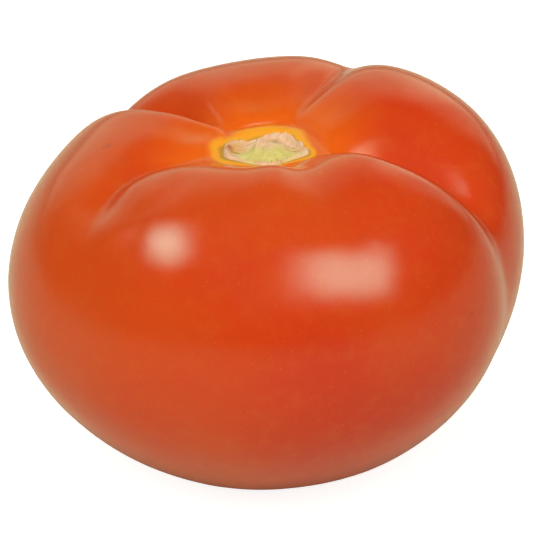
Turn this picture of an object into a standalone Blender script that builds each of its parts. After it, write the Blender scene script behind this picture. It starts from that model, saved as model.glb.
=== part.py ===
"""A ripe beef tomato, picked without its stalk: one solid fruit with deep furrows round a corky stem scar.

The surface is one sheet, a flat grid that is wrapped round the fruit. Along the grid's X run the lobes, from
one furrow to the next and once round. Along its Y runs the meridian, from the flat spot that the fruit rests
on, over the belly and the shoulder, down into the hollow, and in to the middle of the scar. Metres, +Z up,
with the origin in the middle of the flat spot; azimuths are in degrees, 0 along +X and 90 along +Y.
"""

import math
from collections import namedtuple

import bmesh
import bpy
from mathutils import Vector

MM = 0.001

# A stop on a meridian: its radius and height, the way the meridian runs there (0 outwards, 90 up, 180
# inwards), and how far it keeps to that way before and after the stop.
Stop = namedtuple("Stop", "radius height heading reach_in reach_out")

SCAR_HEIGHT = 56.8 * MM

# The meridian over the crest of a lobe: the flat spot's edge, the belly, the shoulder and the scar's edge.
CREST = (
    Stop(9.0 * MM, 0.0, 0, 0.0, 15.0 * MM),
    Stop(45.0 * MM, 35.8 * MM, 90, 18.0 * MM, 17.9 * MM),
    Stop(21.3 * MM, 64.8 * MM, 180, 13.0 * MM, 7.3 * MM),
    Stop(7.8 * MM, SCAR_HEIGHT, 235, 3.0 * MM, 0.0),
)
# The same stops along the bottom of a furrow: 10 mm down at the shoulder and 2 mm in at the belly.
VALLEY = (
    Stop(8.5 * MM, 0.0, 0, 0.0, 15.0 * MM),
    Stop(43.1 * MM, 33.5 * MM, 90, 16.9 * MM, 14.9 * MM),
    Stop(23.2 * MM, 54.8 * MM, 180, 12.5 * MM, 7.4 * MM),
    Stop(8.8 * MM, SCAR_HEIGHT, 205, 3.0 * MM, 0.0),
)
# Where the stops lie along the sheet. It goes on past the scar's edge to the scar's middle.
FLAT_EDGE, BELLY, SHOULDER, SCAR_EDGE, SCAR_MIDDLE = 0.0, 0.30, 0.65, 1.0, 1.15

# A furrow: its azimuth in the hollow, its depth as a share of the valley's, how round its bottom is as a
# share of half a lobe, and how far round the fruit it wanders on its way down to the belly, in degrees.
Furrow = namedtuple("Furrow", "azimuth depth roundness wander")
FURROWS = (
    Furrow(-16.3, 1.47, 0.05, -3.2),
    Furrow(64.0, 0.75, 0.12, 0.0),
    Furrow(137.5, 1.15, 0.06, 0.0),
    Furrow(191.0, 0.87, 0.07, 27.5),
    Furrow(271.0, 0.17, 0.50, 0.0),
)
# The lobe after each furrow: how far its crest reaches out and up, as a share of the common crest, and how
# far it leans, as a share of the lobe's width: above 0 towards the furrow before it, below 0 towards the one
# after it. A lobe drops steeply into the furrow that it leans to, and slopes gently to the other.
Lobe = namedtuple("Lobe", "out up lean")
LOBES = (
    Lobe(1.00, 0.94, -0.10),
    Lobe(0.98, 0.93, 0.0),
    Lobe(0.98, 0.92, 0.14),
    Lobe(0.97, 0.97, -0.14),
    Lobe(1.00, 0.96, -0.05),
)
LOBE_FULLNESS = 2.2
BELLY_ROUNDNESS = 2.5  # a furrow's bottom is this many times rounder at the belly than in the hollow
HOLLOW_ROWS = (0.20, 0.65)  # it changes between these rows of the sheet
WANDER_ROWS = (0.45, 0.75)
FULL_DEPTH_ROW = 0.40  # below it the furrows fade towards the flat spot
DEPTH_AT_FLAT = 0.15
LOBE_FADE = 0.25  # a lobe's own reach fades over this much of the sheet, towards the flat spot and the scar

TILT = 0.07  # the +X side is higher by this share, and the -X side lower
MIDDLE_DRIFT = Vector((0.015, 0.001))  # the fruit's middle moves sideways by this share of the height

# The scar's relief: a raised corky lip, a moat and a low core where the stalk's strands broke off.
SCAR_LIP = 0.5 * MM
SCAR_MOAT = 0.6 * MM
SCAR_CORE = 0.7 * MM
LIP_WIDTH = 0.35  # shares of the way in to the scar's middle
MOAT_START, MOAT_WIDTH = 0.30, 0.50
CORE_START = 0.60

COLUMNS_PER_LOBE = 18
ROWS = 46
CROWDING = 0.08  # how strongly the columns crowd into the furrows
MERGE = 0.001 * MM

SKIN_COLOUR = (0.64, 0.055, 0.012, 1.0)
SKIN_ROUGHNESS = 0.28
CORK_COLOUR = (0.62, 0.50, 0.24, 1.0)
CORK_ROUGHNESS = 0.85


def ease(x):
    """0 below 0, 1 above 1 and a smooth S between."""
    x = min(max(x, 0.0), 1.0)
    return x * x * (3 - 2 * x)


def ease_rows(t, rows):
    return ease((t - rows[0]) / (rows[1] - rows[0]))


def hump(x):
    """A smooth hump of height 1 over 0 to 1, and 0 elsewhere."""
    return math.sin(math.pi * min(max(x, 0.0), 1.0)) ** 2


def mix(a, b, share):
    return a + (b - a) * share


def along(heading, reach):
    """The step of that reach in the (radius, height) plane."""
    angle = math.radians(heading)
    return Vector((math.cos(angle), math.sin(angle))) * reach


def meridian(stops, t):
    """The (radius, height) at row t of the sheet: a cubic curve from each stop to the next."""
    marks = (FLAT_EDGE, BELLY, SHOULDER, SCAR_EDGE)
    leg = 0 if t < BELLY else 1 if t < SHOULDER else 2
    start, end = stops[leg], stops[leg + 1]
    a = Vector((start.radius, start.height))
    d = Vector((end.radius, end.height))
    b = a + along(start.heading, start.reach_out)
    c = d - along(end.heading, end.reach_in)
    u = (t - marks[leg]) / (marks[leg + 1] - marks[leg])
    s = 1 - u
    return s**3 * a + 3 * s * s * u * b + 3 * s * u * u * c + u**3 * d


def bulge(across, roundness):
    """How full a lobe is, from 0 in its two furrows to 1 at its crest, where across is 0.5."""
    from_furrow = 1 - abs(2 * across - 1)
    rounded = (math.hypot(from_furrow, roundness) - roundness) / (math.hypot(1, roundness) - roundness)
    return 1 - (1 - rounded) ** LOBE_FULLNESS


def skin_point(turn, t):
    """The point of the skin turn lobes round from the first furrow, at row t of the sheet."""
    turn %= len(LOBES)
    before = int(turn)
    after = (before + 1) % len(FURROWS)
    across = turn - before
    across -= CROWDING * math.sin(math.tau * across)
    near, far, lobe = FURROWS[before], FURROWS[after], LOBES[before]
    share = ease(across)

    roundness = mix(near.roundness, far.roundness, share) * mix(BELLY_ROUNDNESS, 1, ease_rows(t, HOLLOW_ROWS))
    leaning = across + lobe.lean * math.sin(math.pi * across)
    fullness = bulge(leaning, roundness)
    depth = mix(near.depth, far.depth, share) * mix(DEPTH_AT_FLAT, 1, ease(t / FULL_DEPTH_ROW))

    above_flat = ease((t - FLAT_EDGE) / LOBE_FADE)
    before_scar = ease((SCAR_EDGE - t) / LOBE_FADE)
    crest = meridian(CREST, t)
    crest.x *= 1 + (lobe.out - 1) * fullness * above_flat * before_scar
    crest.y *= 1 + (lobe.up - 1) * fullness * before_scar
    furrow = crest + (meridian(VALLEY, t) - crest) * depth
    radius, height = furrow.lerp(crest, fullness)

    lobe_width = (far.azimuth - near.azimuth) % 360
    wander = mix(near.wander, far.wander, share) * (1 - ease_rows(t, WANDER_ROWS))
    azimuth = math.radians(near.azimuth + lobe_width * across + wander)
    x, y = radius * math.cos(azimuth), radius * math.sin(azimuth)
    height *= 1 + TILT * x / CREST[1].radius
    return Vector((x + MIDDLE_DRIFT.x * height, y + MIDDLE_DRIFT.y * height, height))


def scar_point(turn, t):
    """The point of the scar at row t, on the straight way in from the skin's edge to the scar's middle."""
    inwards = (t - SCAR_EDGE) / (SCAR_MIDDLE - SCAR_EDGE)
    edge = skin_point(turn, SCAR_EDGE)
    middle = Vector((MIDDLE_DRIFT.x * SCAR_HEIGHT, MIDDLE_DRIFT.y * SCAR_HEIGHT, SCAR_HEIGHT))
    point = edge.lerp(middle, inwards)
    point.z += SCAR_LIP * hump(inwards / LIP_WIDTH)
    point.z -= SCAR_MOAT * hump((inwards - MOAT_START) / MOAT_WIDTH)
    point.z += SCAR_CORE * ease((inwards - CORE_START) / (1 - CORE_START))
    return point


def row_of(grid_y):
    return mix(FLAT_EDGE, SCAR_MIDDLE, grid_y + 0.5)


def material(name, colour, roughness):
    made = bpy.data.materials.new(name)
    made.use_nodes = True
    shader = made.node_tree.nodes["Principled BSDF"]
    shader.inputs["Base Color"].default_value = colour
    shader.inputs["Roughness"].default_value = roughness
    shader.inputs["Metallic"].default_value = 0.0
    made.diffuse_color = colour
    return made


def build_tomato():
    bm = bmesh.new()
    bmesh.ops.create_grid(bm, x_segments=COLUMNS_PER_LOBE * len(LOBES), y_segments=ROWS, size=0.5)
    for face in bm.faces:
        face.material_index = int(row_of(face.calc_center_median().y) > SCAR_EDGE)
    for vertex in bm.verts:
        turn = (vertex.co.x + 0.5) * len(LOBES)
        t = row_of(vertex.co.y)
        vertex.co = scar_point(turn, t) if t > SCAR_EDGE else skin_point(turn, t)

    # The grid's two ends meet in a seam and its last row in the scar's middle. The flat spot closes it below.
    bmesh.ops.remove_doubles(bm, verts=bm.verts, dist=MERGE)
    bmesh.ops.holes_fill(bm, edges=[edge for edge in bm.edges if edge.is_boundary])
    bmesh.ops.recalc_face_normals(bm, faces=bm.faces)

    mesh = bpy.data.meshes.new("tomato")
    bm.to_mesh(mesh)
    bm.free()
    mesh.shade_smooth()
    mesh.materials.append(material("tomato_skin", SKIN_COLOUR, SKIN_ROUGHNESS))
    mesh.materials.append(material("stem_scar_cork", CORK_COLOUR, CORK_ROUGHNESS))
    bpy.context.scene.collection.objects.link(bpy.data.objects.new("tomato", mesh))


for leftover in list(bpy.data.objects):
    bpy.data.objects.remove(leftover)
build_tomato()
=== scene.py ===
# %% [markdown]
# # A beef tomato
#
# This lesson dresses one ripe tomato. The construction model is already there: one closed solid with the lobes, the
# furrows, the hollow and the flat spot, all at their real size. What it lacks is everything that the eye reads as
# tomato: taut glossy skin with soft dents, flesh that lets some light in, the dry cork where the stalk came off, and
# the yellow that surrounds it. We add these in that order, and print what each step made.

# %% Load the fixed model
import math

import bmesh
import bpy
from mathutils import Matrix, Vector, noise
from mathutils.bvhtree import BVHTree


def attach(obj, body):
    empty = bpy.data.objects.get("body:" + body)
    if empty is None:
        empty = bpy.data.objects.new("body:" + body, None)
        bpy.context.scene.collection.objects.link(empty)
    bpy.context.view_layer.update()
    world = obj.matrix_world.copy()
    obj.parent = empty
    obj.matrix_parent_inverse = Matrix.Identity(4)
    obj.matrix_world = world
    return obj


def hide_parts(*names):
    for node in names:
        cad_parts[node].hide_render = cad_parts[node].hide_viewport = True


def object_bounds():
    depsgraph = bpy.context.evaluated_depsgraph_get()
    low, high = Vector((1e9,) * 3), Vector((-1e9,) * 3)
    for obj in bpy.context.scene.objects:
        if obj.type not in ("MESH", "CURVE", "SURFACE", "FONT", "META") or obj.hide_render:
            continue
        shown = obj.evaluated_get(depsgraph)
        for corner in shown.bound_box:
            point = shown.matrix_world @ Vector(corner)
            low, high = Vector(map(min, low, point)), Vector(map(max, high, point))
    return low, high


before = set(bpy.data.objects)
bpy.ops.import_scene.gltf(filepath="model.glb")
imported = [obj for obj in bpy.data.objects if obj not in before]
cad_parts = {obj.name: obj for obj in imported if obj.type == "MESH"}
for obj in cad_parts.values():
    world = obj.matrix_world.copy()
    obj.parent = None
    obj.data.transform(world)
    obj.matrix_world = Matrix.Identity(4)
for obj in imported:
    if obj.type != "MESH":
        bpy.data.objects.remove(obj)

cad_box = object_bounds()
fruit_size = cad_box[1] - cad_box[0]
MM = 0.001
print("fruit", [round(side / MM, 1) for side in fruit_size], "mm")

# %% [markdown]
# ## The camera
#
# The photograph looks down on the fruit from about a third of the way to straight above, from as far off as a product
# photographer stands, so the far lobes are hardly smaller than the near ones. A long lens does the same here. The
# focal length is kept in pixels of the picture as well, because we later ask which point of the skin lies under a
# pixel: that is how a highlight or a rub mark gets its place.

# %% Set up the camera
PICTURE = 540
CAMERA_ELEVATION = math.radians(31.9)
CAMERA_DISTANCE = 480 * MM
CAMERA_AIM = Vector((1.15, 0.0, 33.24)) * MM
FOCAL_PIXELS = 2816
SENSOR = 36.0

towards_camera = Vector((0, -math.cos(CAMERA_ELEVATION), math.sin(CAMERA_ELEVATION)))
lens = bpy.data.cameras.new("camera")
lens.sensor_width = SENSOR
lens.lens = SENSOR * FOCAL_PIXELS / PICTURE
lens.clip_start = 10 * MM
camera = bpy.data.objects.new("camera", lens)
camera.location = CAMERA_AIM + towards_camera * CAMERA_DISTANCE
camera.rotation_mode = "QUATERNION"
camera.rotation_quaternion = towards_camera.to_track_quat("Z", "Y")
bpy.context.scene.collection.objects.link(camera)
bpy.context.scene.camera = camera
print("lens", round(lens.lens, 1), "mm")

# %% [markdown]
# ## From loose triangles to a smooth skin
#
# The model arrives as loose triangles, good for measuring but faceted. A modeller would merge them, pair them back
# into quads and subdivide, and so do we. The flat spot under the fruit is a single large face, too coarse for the
# blossom scar that belongs there, so it is opened first and closed again with rings that shrink towards its middle.

# %% Merge the triangles and pair them into quads
MERGE = 0.001 * MM
ONE_PLANE = math.radians(60)
ANY_SHAPE = math.radians(120)
FLAT_LIMIT = 0.02 * MM
FLAT_RINGS = (0.86, 0.70, 0.54, 0.40, 0.28, 0.18, 0.09)

work = bmesh.new()
work.from_mesh(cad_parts["tomato"].data)
bmesh.ops.remove_doubles(work, verts=work.verts, dist=MERGE)
under = [face for face in work.faces if all(vertex.co.z < FLAT_LIMIT for vertex in face.verts)]
bmesh.ops.delete(work, geom=under, context="FACES")
bmesh.ops.join_triangles(
    work,
    faces=work.faces,
    angle_face_threshold=ONE_PLANE,
    angle_shape_threshold=ANY_SHAPE,
)

rim = [edge for edge in work.edges if edge.is_boundary]
reached = 1.0
for share in FLAT_RINGS:
    ring = bmesh.ops.extrude_edge_only(work, edges=rim)["geom"]
    ring_verts = [item for item in ring if isinstance(item, bmesh.types.BMVert)]
    bmesh.ops.scale(work, verts=ring_verts, vec=(share / reached, share / reached, 1))
    rim = [item for item in ring if isinstance(item, bmesh.types.BMEdge) and item.is_boundary]
    reached = share
bmesh.ops.pointmerge(work, verts=list({vertex for edge in rim for vertex in edge.verts}), merge_co=(0, 0, 0))
bmesh.ops.recalc_face_normals(work, faces=work.faces)
for edge in work.edges:
    edge.smooth = True
print("quads", sum(len(face.verts) == 4 for face in work.faces), "of", len(work.faces), "faces")

# %% Subdivide it
SKIN_LEVELS = 2


def new_object(name, mesh):
    """Links a new object whose place is in its mesh."""
    mesh.shade_smooth()
    made = bpy.data.objects.new(name, mesh)
    bpy.context.scene.collection.objects.link(made)
    return made


skin = new_object("skin", bpy.data.meshes.new("skin"))
work.to_mesh(skin.data)
work.free()
for leftover in ("custom_normal", "sharp_face", "sharp_edge"):
    if leftover in skin.data.attributes:
        skin.data.attributes.remove(skin.data.attributes[leftover])
skin.data.materials.clear()
smoother = skin.modifiers.new("smoother", "SUBSURF")
smoother.levels = smoother.render_levels = SKIN_LEVELS
smooth_mesh = bpy.data.meshes.new_from_object(skin.evaluated_get(bpy.context.evaluated_depsgraph_get()))
skin.modifiers.remove(smoother)
skin.data = smooth_mesh
skin.data.name = "skin"
skin.data.shade_smooth()
print("skin", len(skin.data.vertices), "vertices")

# %% [markdown]
# ## Finding places on the fruit
#
# A search tree over the smooth skin answers two questions that come up again and again: which point of the skin lies
# under a pixel, and how high the skin stands at a place seen from above.

# %% Ask the skin
def search_tree(piece):
    return BVHTree.FromObject(piece, bpy.context.evaluated_depsgraph_get())


surface = search_tree(skin)
camera_right = Vector((1, 0, 0))
camera_up = towards_camera.cross(camera_right)


def seen_at(x, y):
    """The point of the skin under a pixel of the photograph, and its normal."""
    across = camera_right * (x - PICTURE / 2) + camera_up * (PICTURE / 2 - y)
    ray = (across / FOCAL_PIXELS - towards_camera).normalized()
    point, normal, _, _ = surface.ray_cast(camera.location, ray)
    return point, normal


def skin_height(x, y):
    point, _, _, _ = surface.ray_cast(Vector((x, y, 2 * fruit_size.z)), Vector((0, 0, -1)))
    return point.z


def ease(x):
    x = min(max(x, 0.0), 1.0)
    return x * x * (3 - 2 * x)


# %% [markdown]
# ## Swells
#
# The seed chambers press on the skin from inside, so between two furrows a lobe isn't evenly round: it sinks and
# swells by half a millimetre or so over the width of a thumb, and by more where it rolls over into a furrow. The
# outline hardly changes, but a highlight starts and stops where the skin turns. Nothing in the picture measures such
# a swell, so these were chosen by trial, until the highlights lay about where the photograph has them. Each swell is
# a shallow round hill or hollow whose middle is found by its pixel.

# %% Swell the lobes
SWELLS = (
    # pixel, radius and height
    ((256, 256), 14.5 * MM, -0.85 * MM),  # between the two highlights
    ((199, 256), 5.5 * MM, 0.20 * MM),  # just past the left highlight's right end
    ((103, 238), 9.0 * MM, 0.70 * MM),  # the foot of the left furrow
    ((262, 176), 11.0 * MM, 0.70 * MM),  # the front lobe's crest
    ((150, 187), 9.0 * MM, 1.30 * MM),  # where the front lobe rolls into the left furrow
    ((108, 240), 13.0 * MM, 0.60 * MM),  # the foot of the left furrow, wider
    ((225, 112), 13.0 * MM, 0.70 * MM),  # the hollow's back left wall
    ((450, 190), 16.0 * MM, 0.80 * MM),  # the right furrow's far side
    ((225, 225), 8.0 * MM, 0.15 * MM),  # the front lobe's left shoulder
    ((130, 190), 9.0 * MM, 0.80 * MM),  # where the left lobe rolls into the left furrow
)


def raise_skin(places, heights):
    """Moves each vertex of the skin along its own normal, by its height."""
    normals = [vertex.normal.copy() for vertex in skin.data.vertices]
    moved = [place + normal * height for place, normal, height in zip(places, normals, heights)]
    skin.data.vertices.foreach_set("co", [number for place in moved for number in place])
    skin.data.update()
    return moved


def swell_height(place):
    total = 0.0
    for middle, radius, height in swells:
        away = (place - middle).length / radius
        total += height * (1 - away * away) ** 2 if away < 1 else 0.0
    return total


swells = [(seen_at(*pixel)[0], radius, height) for pixel, radius, height in SWELLS]
skin_places = [vertex.co.copy() for vertex in skin.data.vertices]
skin_places = raise_skin(skin_places, [swell_height(place) for place in skin_places])
surface = search_tree(skin)
print("swells", len(swells))

# %% [markdown]
# ## The scar's outline
#
# The scar where the stalk sat is an uneven shape with nearly straight sides, because the flesh tore further out in
# some directions than in others. Its corners and the straight sides between them give the outline, and an average
# over nearby directions blunts the corners.

# %% Draw the scar's outline
SCAR_X, SCAR_Y = 0.9 * MM, 0.6 * MM
SCAR_CORNERS = (
    # azimuth in degrees and reach from the scar's middle
    (-88, 6.9 * MM),
    (-27, 8.4 * MM),
    (60, 5.3 * MM),
    (108, 3.6 * MM),
    (156, 8.4 * MM),
    (202, 8.3 * MM),
)
BLUNTING = [math.radians(step) for step in (-8, -4, 0, 4, 8)]


def outwards(angle):
    return Vector((math.cos(angle), math.sin(angle)))


corners = [outwards(math.radians(azimuth)) * reach for azimuth, reach in SCAR_CORNERS]
sides = [(start, end - start) for start, end in zip(corners, corners[1:] + corners[:1])]


def straight_reach(angle):
    """How far the straight-sided outline reaches in this direction: to the nearest side ahead."""
    ahead = [start.cross(side) / outwards(angle).cross(side) for start, side in sides]
    return min(reach for reach in ahead if reach > 0)


def scar_reach(angle):
    return sum(straight_reach(angle + step) for step in BLUNTING) / len(BLUNTING)


scar_middle = Vector((SCAR_X, SCAR_Y, skin_height(SCAR_X, SCAR_Y)))
scar_width = scar_reach(0) + scar_reach(math.pi)
print("scar", round(scar_width / MM, 1), "mm wide,", round(scar_middle.z / MM, 1), "mm up")

# %% [markdown]
# ## Soft dents and small marks
#
# A subdivided solid is too perfect. Real skin is stretched over seed chambers and swells and sinks by a tenth of a
# millimetre between them, which is what makes a highlight wander. The same pass dents the blossom scar under the
# fruit, and the few places where the skin was rubbed or nicked. Everything moves along the vertex's own normal, so no
# outline changes. Two numbers per vertex are kept for the paint: how far the skin is from the edge of the scar, and
# the same distance made shorter on the side where the scar's yellow ring is wider.

# %% Move the skin by its fine relief
DENTS = ((14 * MM, 0.10 * MM), (6 * MM, 0.035 * MM), (2.2 * MM, 0.008 * MM))
FINE_FROM = 4 * MM  # below this height the dents fade towards the flat spot
BLOSSOM_RADIUS = 4.5 * MM
BLOSSOM_DEPTH = 0.45 * MM
BLOSSOM_TOP = 1 * MM
FOLDS, FOLD_TWIST, FOLD_SHARE = 5, 9.0, 0.2
NUB_RADIUS = 0.8 * MM
NUB_HEIGHT = 0.24 * MM
MARKS = (
    # pixel, radius and depth
    ((377, 240), 0.8 * MM, -0.10 * MM),
    ((107, 146), 1.3 * MM, 0.05 * MM),
    ((472, 314), 0.7 * MM, 0.07 * MM),
)
marks = [(seen_at(*pixel)[0], radius, depth) for pixel, radius, depth in MARKS]


def blossom_relief(place):
    """A folded dimple with a nub in its middle, on the flat spot."""
    aside = place.xy.length / BLOSSOM_RADIUS
    if place.z > BLOSSOM_TOP or aside > 1:
        return 0.0
    fold = 0.5 + 0.5 * math.cos(FOLDS * math.atan2(place.y, place.x) + FOLD_TWIST * aside)
    dimple = BLOSSOM_DEPTH * (1 - ease(aside)) * (1 - FOLD_SHARE * (1 - fold))
    return NUB_HEIGHT * (1 - ease(place.xy.length / NUB_RADIUS)) - dimple


def fine_relief(place):
    up = sum(height * noise.noise(place / size) for size, height in DENTS) * ease(place.z / FINE_FROM)
    up += blossom_relief(place)
    for middle, radius, depth in marks:
        away = (place - middle).length / radius
        up -= depth * (1 - ease(away))
    return up


skin_places = raise_skin(skin_places, [fine_relief(place) for place in skin_places])
print("skin moved by its fine relief,", len(marks), "marks")

# %% Store what the paint needs to know
FAR = 60 * MM
HOLLOW_FLOOR = 45 * MM
PRINT_GAP = 5 * MM
RING_SPREAD = Vector((-0.15, 0.70))  # the scar's yellow ring is wider this way, and narrower the other way


def store(mesh, name, values):
    """Keeps one number for each vertex, for the materials to read."""
    mesh.attributes.new(name, "FLOAT", "POINT").data.foreach_set("value", values)


scar_gaps = []
ring_gaps = []
for place in skin_places:
    aside = place.xy - scar_middle.xy
    near = place.z > HOLLOW_FLOOR and aside.length > 0
    gap = aside.length - scar_reach(math.atan2(aside.y, aside.x)) if near else FAR
    scar_gaps.append(gap)
    ring_gaps.append(gap / (1 + RING_SPREAD.dot(aside.normalized())))
store(skin.data, "from_scar", scar_gaps)
store(skin.data, "from_ring", ring_gaps)
print("skin close to the scar:", sum(gap < PRINT_GAP for gap in scar_gaps), "vertices")

# %% [markdown]
# ## Writing materials as sums
#
# A material is a graph of nodes, and a graph built line by line hides the idea behind it. So one small class wraps an
# output socket: adding or multiplying two of them adds the Math node. Every other node comes from one method that
# takes the node's type, its settings and what goes into its sockets.

# %% A socket that can be added and multiplied
class Signal:
    """A value or colour that varies over a surface."""

    def __init__(self, paint, socket):
        self.paint = paint
        self.socket = socket

    def maths(self, operation, first, second):
        return self.paint.node("ShaderNodeMath", {"operation": operation}, {0: first, 1: second})

    def __add__(self, other):
        return self.maths("ADD", self, other)

    def __radd__(self, other):
        return self.maths("ADD", other, self)

    def __sub__(self, other):
        return self.maths("SUBTRACT", self, other)

    def __rsub__(self, other):
        return self.maths("SUBTRACT", other, self)

    def __mul__(self, other):
        return self.maths("MULTIPLY", self, other)

    def __rmul__(self, other):
        return self.maths("MULTIPLY", other, self)

    def __pow__(self, other):
        return self.maths("POWER", self, other)

    def __rpow__(self, other):
        return self.maths("POWER", other, self)


class Room:
    """A node tree under construction: the world's, or a material's."""

    def __init__(self, tree):
        self.tree = tree

    def node(self, kind, settings, sockets, output=0):
        """Adds a node: its settings first, then a value or a Signal for each named socket."""
        made = self.tree.nodes.new(kind)
        for name, value in settings.items():
            setattr(made, name, value)
        for name, value in sockets.items():
            self.plug(made.inputs[name], value)
        return Signal(self, made.outputs[output])

    def plug(self, socket, value):
        if isinstance(value, Signal):
            self.tree.links.new(value.socket, socket)
        else:
            socket.default_value = value

    def blend(self, amount, first, second):
        """The colour that is amount of the way from first to second."""
        return self.node(
            "ShaderNodeMix",
            {"data_type": "RGBA", "clamp_factor": True},
            {0: amount, 6: first, 7: second},
            output=2,
        )

    def fade(self, value, start, end):
        """0 where value is at start, 1 where it is at end, and eased between."""
        return self.node(
            "ShaderNodeMapRange",
            {"interpolation_type": "SMOOTHSTEP"},
            {"Value": value, "From Min": start, "From Max": end, "To Min": 0.0, "To Max": 1.0},
        )

    def tint(self, colour, new, value, start, end, amount=1.0):
        """The colour with some of a new one over it, none where value is at start and all of it at end."""
        return self.blend(self.fade(value, start, end) * amount, colour, new)

    def vector(self, operation, *vectors, output=0):
        return self.node("ShaderNodeVectorMath", {"operation": operation}, dict(enumerate(vectors)), output)

    def distance(self, place, point):
        return self.vector("DISTANCE", place, point, output="Value")

    def attribute(self, name):
        return self.node("ShaderNodeAttribute", {"attribute_name": name}, {}, output="Fac")

    def parts(self, vector):
        """The X, Y and Z of a vector."""
        outputs = self.node("ShaderNodeSeparateXYZ", {}, {0: vector}).socket.node.outputs
        return [Signal(self, output) for output in outputs]

    def clouds(self, place, size, detail=2.0, roughness=0.5):
        """Noise round 0.5 whose clouds are about this many metres across."""
        return self.node(
            "ShaderNodeTexNoise",
            {},
            {"Vector": place, "Scale": 1 / size, "Detail": detail, "Roughness": roughness},
            output="Fac",
        )

    def bump(self, height, depth):
        return self.node("ShaderNodeBump", {}, {"Height": height, "Distance": depth}, output="Normal")


class Paint(Room):
    """A Principled material under construction."""

    def __init__(self, name):
        self.material = bpy.data.materials.new(name)
        self.material.use_nodes = True
        super().__init__(self.material.node_tree)
        self.place = self.node("ShaderNodeTexCoord", {}, {}, output="Object")

    def finish(self, **sockets):
        """Plugs values or Signals into the shader, whose socket names are written with underscores."""
        shader = self.tree.nodes["Principled BSDF"]
        for name, value in sockets.items():
            self.plug(shader.inputs[name.replace("_", " ")], value)
        return self.material


def screen(red, green, blue):
    """A screen colour, 0 to 255, as the linear colour that a shader takes."""
    parts = [part / 255 for part in (red, green, blue)]
    return tuple(p / 12.92 if p <= 0.04045 else ((p + 0.055) / 1.055) ** 2.4 for p in parts)


# %% [markdown]
# ## The skin's finish
#
# Tomato skin is a clear waxy film over coloured flesh. The gloss is the film's: smooth, but not a mirror. The colour
# is the flesh's, and some light travels through it, which softens the shading and warms thin edges, so a little
# subsurface light is set on the shader. The colour runs from red on the shoulders to orange-red on the belly, and up
# the walls of the hollow through orange to a yellow rim where the scar starts. Pale streaks run down from the stalk
# end, as the fruit's own fibres do, and fine golden flecks sit in the film.

# %% Mix the skin's colours
RED = (*screen(207, 59, 22), 1)
DEEP_RED = (*screen(204, 53, 21), 1)
ORANGE_RED = (*screen(211, 81, 24), 1)
FLECK_GOLD = (*screen(222, 118, 48), 1)

PATCH_SIZE, DEEP_PATCH_SIZE = 26 * MM, 34 * MM
MOTTLE_SIZE = 3.2 * MM
ORANGE_BY_HEIGHT, ORANGE_BY_SIDE = 0.30, -0.45
MIDDLE_HEIGHT = 40 * MM
LOW_BELLY, LOW_ORANGE = 30 * MM, 25 * MM
PATCH_REACH, TURNING = 70 * MM, 30 * MM

film = Paint("tomato_skin")
sideways, _, height = film.parts(film.place)
patches = film.clouds(film.place, PATCH_SIZE, detail=3.0)
mottle = film.clouds(film.place, MOTTLE_SIZE, detail=4.0, roughness=0.6)

# The left side ripened in the shade. It stays more orange than the right, and so do the top and the blossom end.
orange = (height - MIDDLE_HEIGHT) * ORANGE_BY_HEIGHT + sideways * ORANGE_BY_SIDE
orange = orange + film.fade(height, LOW_BELLY, 0.0) * LOW_ORANGE
orange = film.fade(orange - (patches - 0.5) * PATCH_REACH, -TURNING, TURNING)
colour = film.blend(orange, RED, ORANGE_RED)
deep_patches = film.clouds(film.place, DEEP_PATCH_SIZE)
colour = film.tint(colour, DEEP_RED, deep_patches, start=0.48, end=0.7, amount=1 - orange)

# %% Add streaks and flecks
STREAK_WIDTH = 0.06  # of the distance from the fruit's axis
STREAK_RUN = 12.0  # what a metre of height counts in the noise, where a metre round the belly counts about 23
FLECK_SIZE = 1.3 * MM

# Streaks are noise that is stretched along the height and squeezed round the fruit.
around = film.vector("NORMALIZE", film.vector("MULTIPLY", film.place, (1.0, 1.0, 0.0)))
rise = film.node("ShaderNodeCombineXYZ", {}, {2: height * STREAK_RUN})
streaks = film.clouds(film.vector("ADD", around, rise), STREAK_WIDTH, detail=3.0, roughness=0.6)
colour = film.tint(colour, ORANGE_RED, streaks, start=0.5, end=0.8, amount=0.22)
colour = film.tint(colour, FLECK_GOLD, mottle, start=0.45, end=0.75, amount=0.12)

# Flecks are the middles of small cells.
flecks = film.node(
    "ShaderNodeTexVoronoi",
    {"feature": "F1"},
    {"Vector": film.place, "Scale": 1 / FLECK_SIZE, "Randomness": 1.0},
    output="Distance",
)
colour = film.tint(colour, FLECK_GOLD, flecks, start=0.16, end=0.05, amount=0.35)
print("skin colours, streaks and flecks:", len(film.tree.nodes), "nodes")

# %% Colour the hollow, the marks and the blossom scar
HOLLOW_ORANGE = (*screen(232, 106, 19), 1)
RING_YELLOW = (*screen(244, 166, 36), 1)
RING_OLIVE = (*screen(178, 136, 46), 1)
MARK_BROWN = (*screen(168, 62, 30), 1)
BLOSSOM_BROWN = (*screen(150, 104, 62), 1)
HOLLOW_REACH = 17 * MM
HOLLOW_RAGGED = 5 * MM
RING = 1.0 * MM
RING_RAGGED = 1.0 * MM
BLOSSOM_STAIN = 1.9 * MM
BLOSSOM_RAGGED = 1.5 * MM

scar_gap = film.attribute("from_scar")
uneven = scar_gap + (streaks - 0.5) * HOLLOW_RAGGED
colour = film.tint(colour, HOLLOW_ORANGE, uneven, start=HOLLOW_REACH, end=2 * RING, amount=0.9)
uneven = film.attribute("from_ring") + (mottle - 0.5) * RING_RAGGED
colour = film.tint(colour, RING_YELLOW, uneven, start=2.5 * RING, end=1.1 * RING)
colour = film.tint(colour, RING_OLIVE, uneven, start=0.7 * RING, end=0.0, amount=0.8)

for middle, radius, depth in marks:
    if depth > 0:
        gap = film.distance(film.place, middle)
        colour = film.tint(colour, MARK_BROWN, gap, start=radius, end=0.3 * radius, amount=0.4)

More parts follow.
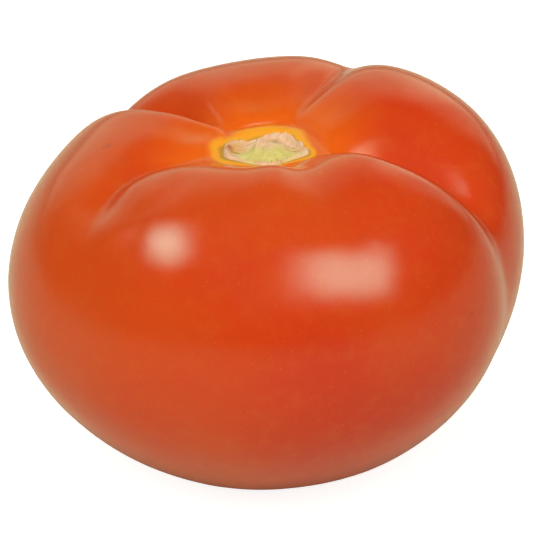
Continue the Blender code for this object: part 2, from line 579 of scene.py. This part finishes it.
uneven = film.vector("LENGTH", film.place, output="Value") + (mottle - 0.5) * BLOSSOM_RAGGED
colour = film.tint(colour, BLOSSOM_BROWN, uneven, start=BLOSSOM_STAIN, end=1.0 * MM, amount=0.9)
print("with the hollow, the marks and the blossom scar:", len(film.tree.nodes), "nodes")

# %% Finish the skin
FILM_ROUGHNESS, UNEVEN_FILM = 0.16, 0.06
DULL_REACH, DULLNESS = 4.5 * MM, 0.4  # close to the scar
PEEL_SIZE, PEEL_DEPTH = 0.55 * MM, 0.010 * MM

peel = film.clouds(film.place, PEEL_SIZE, detail=2.0)
film_roughness = FILM_ROUGHNESS + (mottle - 0.5) * UNEVEN_FILM
film_roughness = film_roughness + film.fade(scar_gap, DULL_REACH, 0.0) * DULLNESS
skin.data.materials.append(
    film.finish(
        Base_Color=colour,
        Roughness=film_roughness,
        IOR=1.42,
        Subsurface_Weight=0.5,
        Subsurface_Radius=(1.0, 0.22, 0.06),
        Subsurface_Scale=4.0 * MM,
        Normal=film.bump(peel, PEEL_DEPTH),
    )
)
print("skin paint", len(film.tree.nodes), "nodes")

# %% [markdown]
# ## The stem scar
#
# Where the stalk let go, the fruit sealed itself with cork. It is a dry, cream-coloured, uneven disc with blunt
# corners, a ragged lip, shallow radial cracks, a torn flap of fibres behind its middle, and the greenish ends of the
# strands that fed the fruit. We turn it from a profile with the spin operator, as one closed cap, and then push each
# vertex to the scar's outline and relief, so it beds into the skin all round.

# %% Turn the cap
CAP_RINGS = 46
CAP_STEPS = 200
CAP_DEPTH = 1.6 * MM
UNDERSIDE_RINGS = (0.35, 0.70, 0.95)  # shares of the way out

cap = bmesh.new()
profile = [cap.verts.new((0, 0, -1))]
profile += [cap.verts.new((share, 0, -1)) for share in UNDERSIDE_RINGS]
profile += [cap.verts.new((ring / CAP_RINGS, 0, 0)) for ring in range(CAP_RINGS, -1, -1)]
spokes = [cap.edges.new(pair) for pair in zip(profile, profile[1:])]
bmesh.ops.spin(
    cap,
    geom=profile + spokes,
    cent=(0, 0, 0),
    axis=(0, 0, 1),
    angle=math.tau,
    steps=CAP_STEPS,
    use_merge=True,
)
bmesh.ops.remove_doubles(cap, verts=cap.verts, dist=0.0001)
bmesh.ops.recalc_face_normals(cap, faces=cap.faces)
print("cap", len(cap.verts), "vertices")

# %% Give it the scar's outline and relief
LIP = 0.35 * MM
LIP_SHARE, LIP_WIDTH = 0.90, 0.07  # shares of the way out
CRACK = 0.32 * MM
CRACK_WIDTH = 0.10
CRACKS_FROM, CRACKS_DEEPEN = 0.35, 0.20  # shares of the way out
LUMP, LUMP_SIZE = 0.27 * MM, 2.2 * MM
GRAIN, GRAIN_SIZE = 0.16 * MM, 0.7 * MM
STRANDS = 7
STRAND_RING = 2.2 * MM
STRAND, STRAND_WIDTH = 0.35 * MM, 0.55 * MM
ARCH_MIDDLE = Vector((1.8, -0.8)) * MM
ARCH_RADIUS = 3.7 * MM
ARCH_WIDTH = 0.55 * MM
ARCH_HEIGHT = 0.9 * MM
ARCH_FROM, ARCH_RISE = -1.2 * MM, 2 * MM
RAGGED_RIM = 0.03
BEDDING = 0.25 * MM  # the cork stands this far above the skin, and its rim dips as far into it
BEDDED_RIM = 0.06  # the share of the way out over which it dips
UNDERSIDE_TAPER = 0.5


def hill(distance, width):
    return math.exp(-((distance / width) ** 2))


def strand_ends(spot):
    """The stubs of the strands that fed the fruit, in an uneven ring."""
    up = 0.0
    for number in range(STRANDS):
        turn = math.tau * (number + 0.25 * noise.noise(Vector((number, 7.5, 0)))) / STRANDS
        reach = STRAND_RING * (1.1 + 0.3 * noise.noise(Vector((0, number, 2.5))))
        up += STRAND * hill((spot.xy - outwards(turn) * reach).length, STRAND_WIDTH)
    return up


def torn_arch(spot):
    """The torn flap of fibres that stands behind the scar's middle."""
    aside = spot.xy - ARCH_MIDDLE
    ragged = 1 + 0.35 * noise.noise(spot / (1.4 * MM))
    behind = ease((aside.y - ARCH_FROM) / ARCH_RISE)
    return ARCH_HEIGHT * ragged * hill(aside.length - ARCH_RADIUS, ARCH_WIDTH) * behind


def scar_relief(x, y, share):
    """How far the cork stands above the plain scar at (x, y), with share the way out from its middle."""
    spot = Vector((x, y, 0))
    angle = math.atan2(y, x)
    lip = LIP * hill(share - LIP_SHARE, LIP_WIDTH) * (1 + 0.8 * noise.noise(Vector((4 * angle, 0, 3))))
    split = abs(noise.noise(Vector((math.cos(angle) * 5, math.sin(angle) * 5, share * 1.2))))
    crack = -CRACK * (1 - ease(split / CRACK_WIDTH)) * ease((share - CRACKS_FROM) / CRACKS_DEEPEN)
    lumps = LUMP * noise.noise(spot / LUMP_SIZE)
    grain = GRAIN * noise.fractal(spot / GRAIN_SIZE, 0.8, 2.2, 4)
    return lip + crack + lumps + grain + strand_ends(spot) + torn_arch(spot)


reliefs = []
for vertex in cap.verts:
    share = vertex.co.xy.length
    angle = math.atan2(vertex.co.y, vertex.co.x)
    ragged = 1 + RAGGED_RIM * noise.noise(Vector((math.cos(angle) * 3, math.sin(angle) * 3, 0)))
    x, y = outwards(angle) * share * scar_reach(angle) * ragged
    ground = skin_height(SCAR_X + x, SCAR_Y + y)
    if vertex.co.z < -0.5:
        raised = -CAP_DEPTH * (1 - UNDERSIDE_TAPER * share)
    else:
        inside_rim = ease((1 - share) / BEDDED_RIM)
        raised = (scar_relief(x, y, share) + BEDDING) * inside_rim - BEDDING * (1 - inside_rim)
    reliefs.append(raised)
    vertex.co = (SCAR_X + x, SCAR_Y + y, ground + raised)
stem_scar = new_object("stem_scar", bpy.data.meshes.new("stem_scar"))
cap.to_mesh(stem_scar.data)
cap.free()
stem_scar.data.shade_smooth()
store(stem_scar.data, "relief", reliefs)
print("cork stands up to", round(max(reliefs) / MM, 2), "mm above the plain scar")

# %% Mix the cork's paint
CORK_CREAM = (*screen(229, 193, 168), 1)
CORK_TAN = (*screen(214, 160, 96), 1)
CORK_BROWN = (*screen(140, 82, 40), 1)
PITH_GREEN = (*screen(208, 200, 118), 1)
PAINTED_CRACK_SHADE = (*screen(186, 142, 60), 1)
CORK_RUST = (*screen(178, 96, 40), 1)
PAINTED_ARCH_SHADE = (*screen(150, 138, 92), 1)

# A spot: its middle's pixel, where it starts and where it is full, and how strong it is in which colour.
LOW_SPOTS = (
    ((236, 149), 2.2 * MM, 0.6 * MM, 0.8, CORK_TAN),
    ((254, 159), 3.8 * MM, 1.6 * MM, 0.9, PITH_GREEN),
    ((283, 158), 3.8 * MM, 1.6 * MM, 0.9, PITH_GREEN),
)
# The top spots: painted shade under the torn arch, then a rust-brown spot of the cork's own.
RUST_SPOT_AND_ARCH_SHADE = (
    ((274, 143), 1.6 * MM, 0.6 * MM, 0.5, PAINTED_ARCH_SHADE),
    ((228, 149), 1.2 * MM, 0.3 * MM, 0.8, CORK_RUST),
)
SPOT_RAGGED = 2.5 * MM
CRUMB_SIZE, CRUMB_DEPTH = 0.8 * MM, 0.12 * MM
STAIN_SIZE = 3.0 * MM
CORK_ROUGHNESS = 0.72

cork = Paint("stem_scar_cork")
cork_height = cork.attribute("relief")
crumbs = cork.clouds(cork.place, CRUMB_SIZE, detail=4.0, roughness=0.65)
stains = cork.clouds(cork.place, STAIN_SIZE, detail=2.0)


def spotted(colour, spots):
    """The cork's colour with those spots over it, each with an uneven edge."""
    for pixel, start, full, amount, spot_colour in spots:
        gap = cork.distance(cork.place, seen_at(*pixel)[0]) + (stains - 0.5) * SPOT_RAGGED
        colour = cork.tint(colour, spot_colour, gap, start, full, amount)
    return colour


colour = cork.tint(CORK_CREAM, CORK_TAN, stains, start=0.45, end=0.65, amount=0.5)
colour = spotted(colour, LOW_SPOTS)
# Painted light and shade by height: raised parts lit pale cream, low parts and cracks in painted olive shade.
colour = cork.tint(colour, CORK_CREAM, cork_height, start=0.5 * MM, end=0.9 * MM, amount=0.8)
colour = cork.tint(colour, PAINTED_CRACK_SHADE, cork_height, start=0.10 * MM, end=-0.15 * MM, amount=0.75)
colour = cork.tint(colour, CORK_BROWN, crumbs, start=0.60, end=0.72, amount=0.35)
# The painted arch shade and the rust spot go on top.
colour = spotted(colour, RUST_SPOT_AND_ARCH_SHADE)
stem_scar.data.materials.append(
    cork.finish(
        Base_Color=colour,
        Roughness=CORK_ROUGHNESS + (crumbs - 0.5) * 0.2,
        Subsurface_Weight=0.15,
        Subsurface_Radius=(1.0, 0.6, 0.3),
        Subsurface_Scale=1.0 * MM,
        Normal=cork.bump(crumbs, CRUMB_DEPTH),
    )
)
print("cork paint", len(cork.tree.nodes), "nodes")

# %% Tell the frame what the two pieces stand for
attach(skin, "root")
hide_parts("tomato")
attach(stem_scar, "root")
print("pieces", skin.name, "and", stem_scar.name)

# %% [markdown]
# ## Floor and light
#
# The photograph was taken on white, with two windows of light in front and a bright wall behind, which shows as pale
# bands along the lobes' far edges. The fruit stands on two sheets that nearly touch. The camera sees only the upper
# one, which glows like paper lit from below, so the ground stays white. The fruit sees only the lower one, a warm
# white table that glows a little and fills the fruit's underside with light. Its paint dims away from the fruit and
# darkens under it as painted shade where the fruit shades it.

# %% Floor and table
WHITE, GREY, BLACK = (1, 1, 1, 1), (0.5, 0.5, 0.5, 1), (0, 0, 0, 1)
FLOOR_HALF, FLOOR_CELLS = 3.0, 8
FLOOR_GLOW = 0.86
TABLE_BELOW = 0.02 * MM
TABLE_GLOW = 0.23
MATT = {"Roughness": 0.9, "Specular_IOR_Level": 0.1}

# The table's paint and glow dim from the fruit to the floor's far end, a painted fall-off of light.
# Each pair of colours is the near one and the far one.
TABLE_NEAR, TABLE_FAR = 0.10, 1.2
TABLE_COLOURS = (0.52, 0.51, 0.41, 1), (0.20, 0.19, 0.14, 1)
GLOW_COLOURS = (1.0, 0.97, 0.62, 1), (0.6, 0.57, 0.38, 1)

# Under the fruit the paint and glow are darker: painted shade where the fruit shades it.
CONTACT_NEAR, CONTACT_FAR = 0.02, 0.045
CONTACT_SHADE_COLOUR, CONTACT_SHADE_GLOW = (0.32, 0.30, 0.24, 1), (0.2, 0.19, 0.12, 1)


def level_sheet(name, height):
    sheet = bmesh.new()
    bmesh.ops.create_grid(sheet, x_segments=FLOOR_CELLS, y_segments=FLOOR_CELLS, size=FLOOR_HALF)
    bmesh.ops.translate(sheet, verts=sheet.verts, vec=(0, 0, height))
    made = new_object(name, bpy.data.meshes.new(name))
    sheet.to_mesh(made.data)
    sheet.free()
    return made


floor = level_sheet("floor", 0.0)
floor_paint = Paint("floor_white")
floor.data.materials.append(
    floor_paint.finish(Base_Color=GREY, Emission_Color=WHITE, Emission_Strength=FLOOR_GLOW, **MATT)
)
floor.visible_glossy = False
floor.visible_diffuse = False
floor.visible_shadow = False

table = level_sheet("table", -TABLE_BELOW)
table_paint = Paint("table_white")
away = table_paint.vector("LENGTH", table_paint.place, output="Value")
dimness = table_paint.fade(away ** 0.5, TABLE_NEAR ** 0.5, TABLE_FAR ** 0.5)
# painted shade under the fruit
contact_shade = table_paint.fade(away, CONTACT_FAR, CONTACT_NEAR)
table.data.materials.append(
    table_paint.finish(
        Base_Color=table_paint.blend(contact_shade, table_paint.blend(dimness, *TABLE_COLOURS), CONTACT_SHADE_COLOUR),
        Emission_Color=table_paint.blend(contact_shade, table_paint.blend(dimness, *GLOW_COLOURS), CONTACT_SHADE_GLOW),
        Emission_Strength=TABLE_GLOW,
        **MATT,
    )
)
table.visible_camera = False
print("floor and table,", 2 * FLOOR_HALF, "m wide")

# %% [markdown]
# ## Softboxes
#
# A highlight is a softbox seen in the skin, so its place in the picture gives the softbox away. Each softbox is a
# sheet of light, made backwards: a grid of pixels is laid over the highlight, a view ray goes through each pixel and
# mirrors in the skin, and the sheet's vertex lies along that ray. So the sheet bends exactly as the skin asks for.
# Softbox cloth is brightest in its middle, and the glow fades towards the sheet's sides.

# %% Softboxes
SOFTBOX_DISTANCE = 2.5
SOFTBOX_CELLS = 12
SOFTBOX_COLOUR = (0.45, 1.0, 0.78, 1)
SOFTBOXES = (
    # the highlight's window of pixels and its soft edges, each left, top, right and bottom, and the radiance
    ("softbox_left", (138, 216, 200, 274), (0.50, 0.50, 0.50, 0.50), 13.0),
    ("softbox_right", (272, 244, 401, 311), (0.50, 0.34, 0.25, 0.45), 9.3),
)


def mirrored(x, y):
    """The way that a view ray leaves the skin after it mirrors at a pixel of the photograph."""
    point, normal = seen_at(x, y)
    view = (camera.location - point).normalized()
    return normal * (2 * normal.dot(view)) - view


def softbox(name, window, edges, radiance):
    """A sheet of light whose reflection fills the window, with a share of it on each side for a soft edge."""
    left, top, right, bottom = window
    sheet = bmesh.new()
    bmesh.ops.create_grid(sheet, x_segments=SOFTBOX_CELLS, y_segments=SOFTBOX_CELLS, size=0.5)
    across = [vertex.co.x + 0.5 for vertex in sheet.verts]
    down = [0.5 - vertex.co.y for vertex in sheet.verts]
    for vertex, share, depth in zip(sheet.verts, across, down):
        way = mirrored(left + (right - left) * share, top + (bottom - top) * depth)
        vertex.co = scar_middle + way * SOFTBOX_DISTANCE
    made = new_object(name, bpy.data.meshes.new(name))
    sheet.to_mesh(made.data)
    sheet.free()
    store(made.data, "across", across)
    store(made.data, "down", down)

    cloth = Paint(name + "_cloth")
    glow = 1.0
    for attribute, first, last in (("across", edges[0], edges[2]), ("down", edges[1], edges[3])):
        share = cloth.attribute(attribute)
        glow = cloth.fade(share, 0.0, first) * cloth.fade(share, 1.0, 1.0 - last) * glow
    made.data.materials.append(
        cloth.finish(
            Base_Color=BLACK,
            Specular_IOR_Level=0.0,
            Emission_Color=cloth.blend(glow, BLACK, SOFTBOX_COLOUR),
            Emission_Strength=radiance,
        )
    )
    made.visible_camera = False
    made.visible_diffuse = False
    made.visible_shadow = False
    print(name, [round(side, 2) for side in made.dimensions], "m")


for settings in SOFTBOXES:
    softbox(*settings)

# %% [markdown]
# ## Fill lights
#
# The sheets shine in the gloss alone, so that a highlight can be shaped without changing how the fruit is lit. The
# even light over the fruit's flesh comes from broad, dim discs instead, and those don't show in the gloss.

# %% Fill lights
FILL_SIZE = 2.0
FILL_COLOUR = (1.0, 0.93, 0.78)
FILLS = (
    # azimuth and elevation in degrees, and how much light arrives in watts per square metre
    ("key", -102, 50, 3.20),
    ("right", 0, 30, 0.60),
    ("top", 90, 85, 0.35),
)


def fill_light(name, azimuth, elevation, irradiance):
    level = outwards(math.radians(azimuth)) * math.cos(math.radians(elevation))
    back = Vector((*level, math.sin(math.radians(elevation))))
    disc = bpy.data.lights.new("fill_" + name, "AREA")
    disc.shape = "DISK"
    disc.size = FILL_SIZE
    disc.color = FILL_COLOUR
    disc.energy = irradiance * math.pi * SOFTBOX_DISTANCE**2
    fill = bpy.data.objects.new(disc.name, disc)
    fill.location = scar_middle + back * SOFTBOX_DISTANCE
    fill.rotation_mode = "QUATERNION"
    fill.rotation_quaternion = back.to_track_quat("Z", "Y")
    fill.visible_camera = False
    fill.visible_glossy = False
    bpy.context.scene.collection.objects.link(fill)
    print(disc.name, round(disc.energy, 1), "W")


for settings in FILLS:
    fill_light(*settings)

# %% World
ROOM_DARK = 0.08
ROOM_HORIZON = 0.16
WALL = 0.80
WINDOW = 0.45
ROOM_COLOUR = (1.0, 0.97, 0.62, 1)

# Where each glow starts and where it is full, as the X, Y or Z of the way towards it.
WALL_LEFT, WALL_RIGHT, WALL_TOP = (-0.90, -0.45), (0.78, 0.62), (0.88, 0.50)
STRIP_LEFT, STRIP_RIGHT = (0.06, 0.24), (0.48, 0.30)
BEHIND = (0.0, 0.2)
HORIZON = (0.16, -0.04)

world = bpy.data.worlds.new("studio")
bpy.context.scene.world = world
world.use_nodes = True
room = Room(world.node_tree)
way = room.node("ShaderNodeTexCoord", {}, {}, output="Generated")
_, back, up = room.parts(way)
side = room.parts(room.vector("NORMALIZE", room.vector("MULTIPLY", way, (1, 1, 0))))[0]

# The wall behind the fruit, with a brighter strip to the right of its middle, and a pale band along the floor's end.
behind = room.fade(back, *BEHIND)
wall = room.fade(side, *WALL_LEFT) * room.fade(side, *WALL_RIGHT) * behind
strip = room.fade(side, *STRIP_LEFT) * room.fade(side, *STRIP_RIGHT) * behind
glow = (wall * (WALL - ROOM_DARK) + strip * WINDOW) * room.fade(up, *WALL_TOP)
glow = glow + ROOM_DARK + room.fade(up, *HORIZON) * ROOM_HORIZON
seen = room.node("ShaderNodeLightPath", {}, {}, output="Is Camera Ray")
background = world.node_tree.nodes["Background"]
room.plug(background.inputs["Color"], room.blend(seen, ROOM_COLOUR, WHITE))
room.plug(background.inputs["Strength"], seen + (1 - seen) * glow)
print("world", len(world.node_tree.nodes), "nodes")

bpy.context.scene.view_settings.view_transform = "Standard"
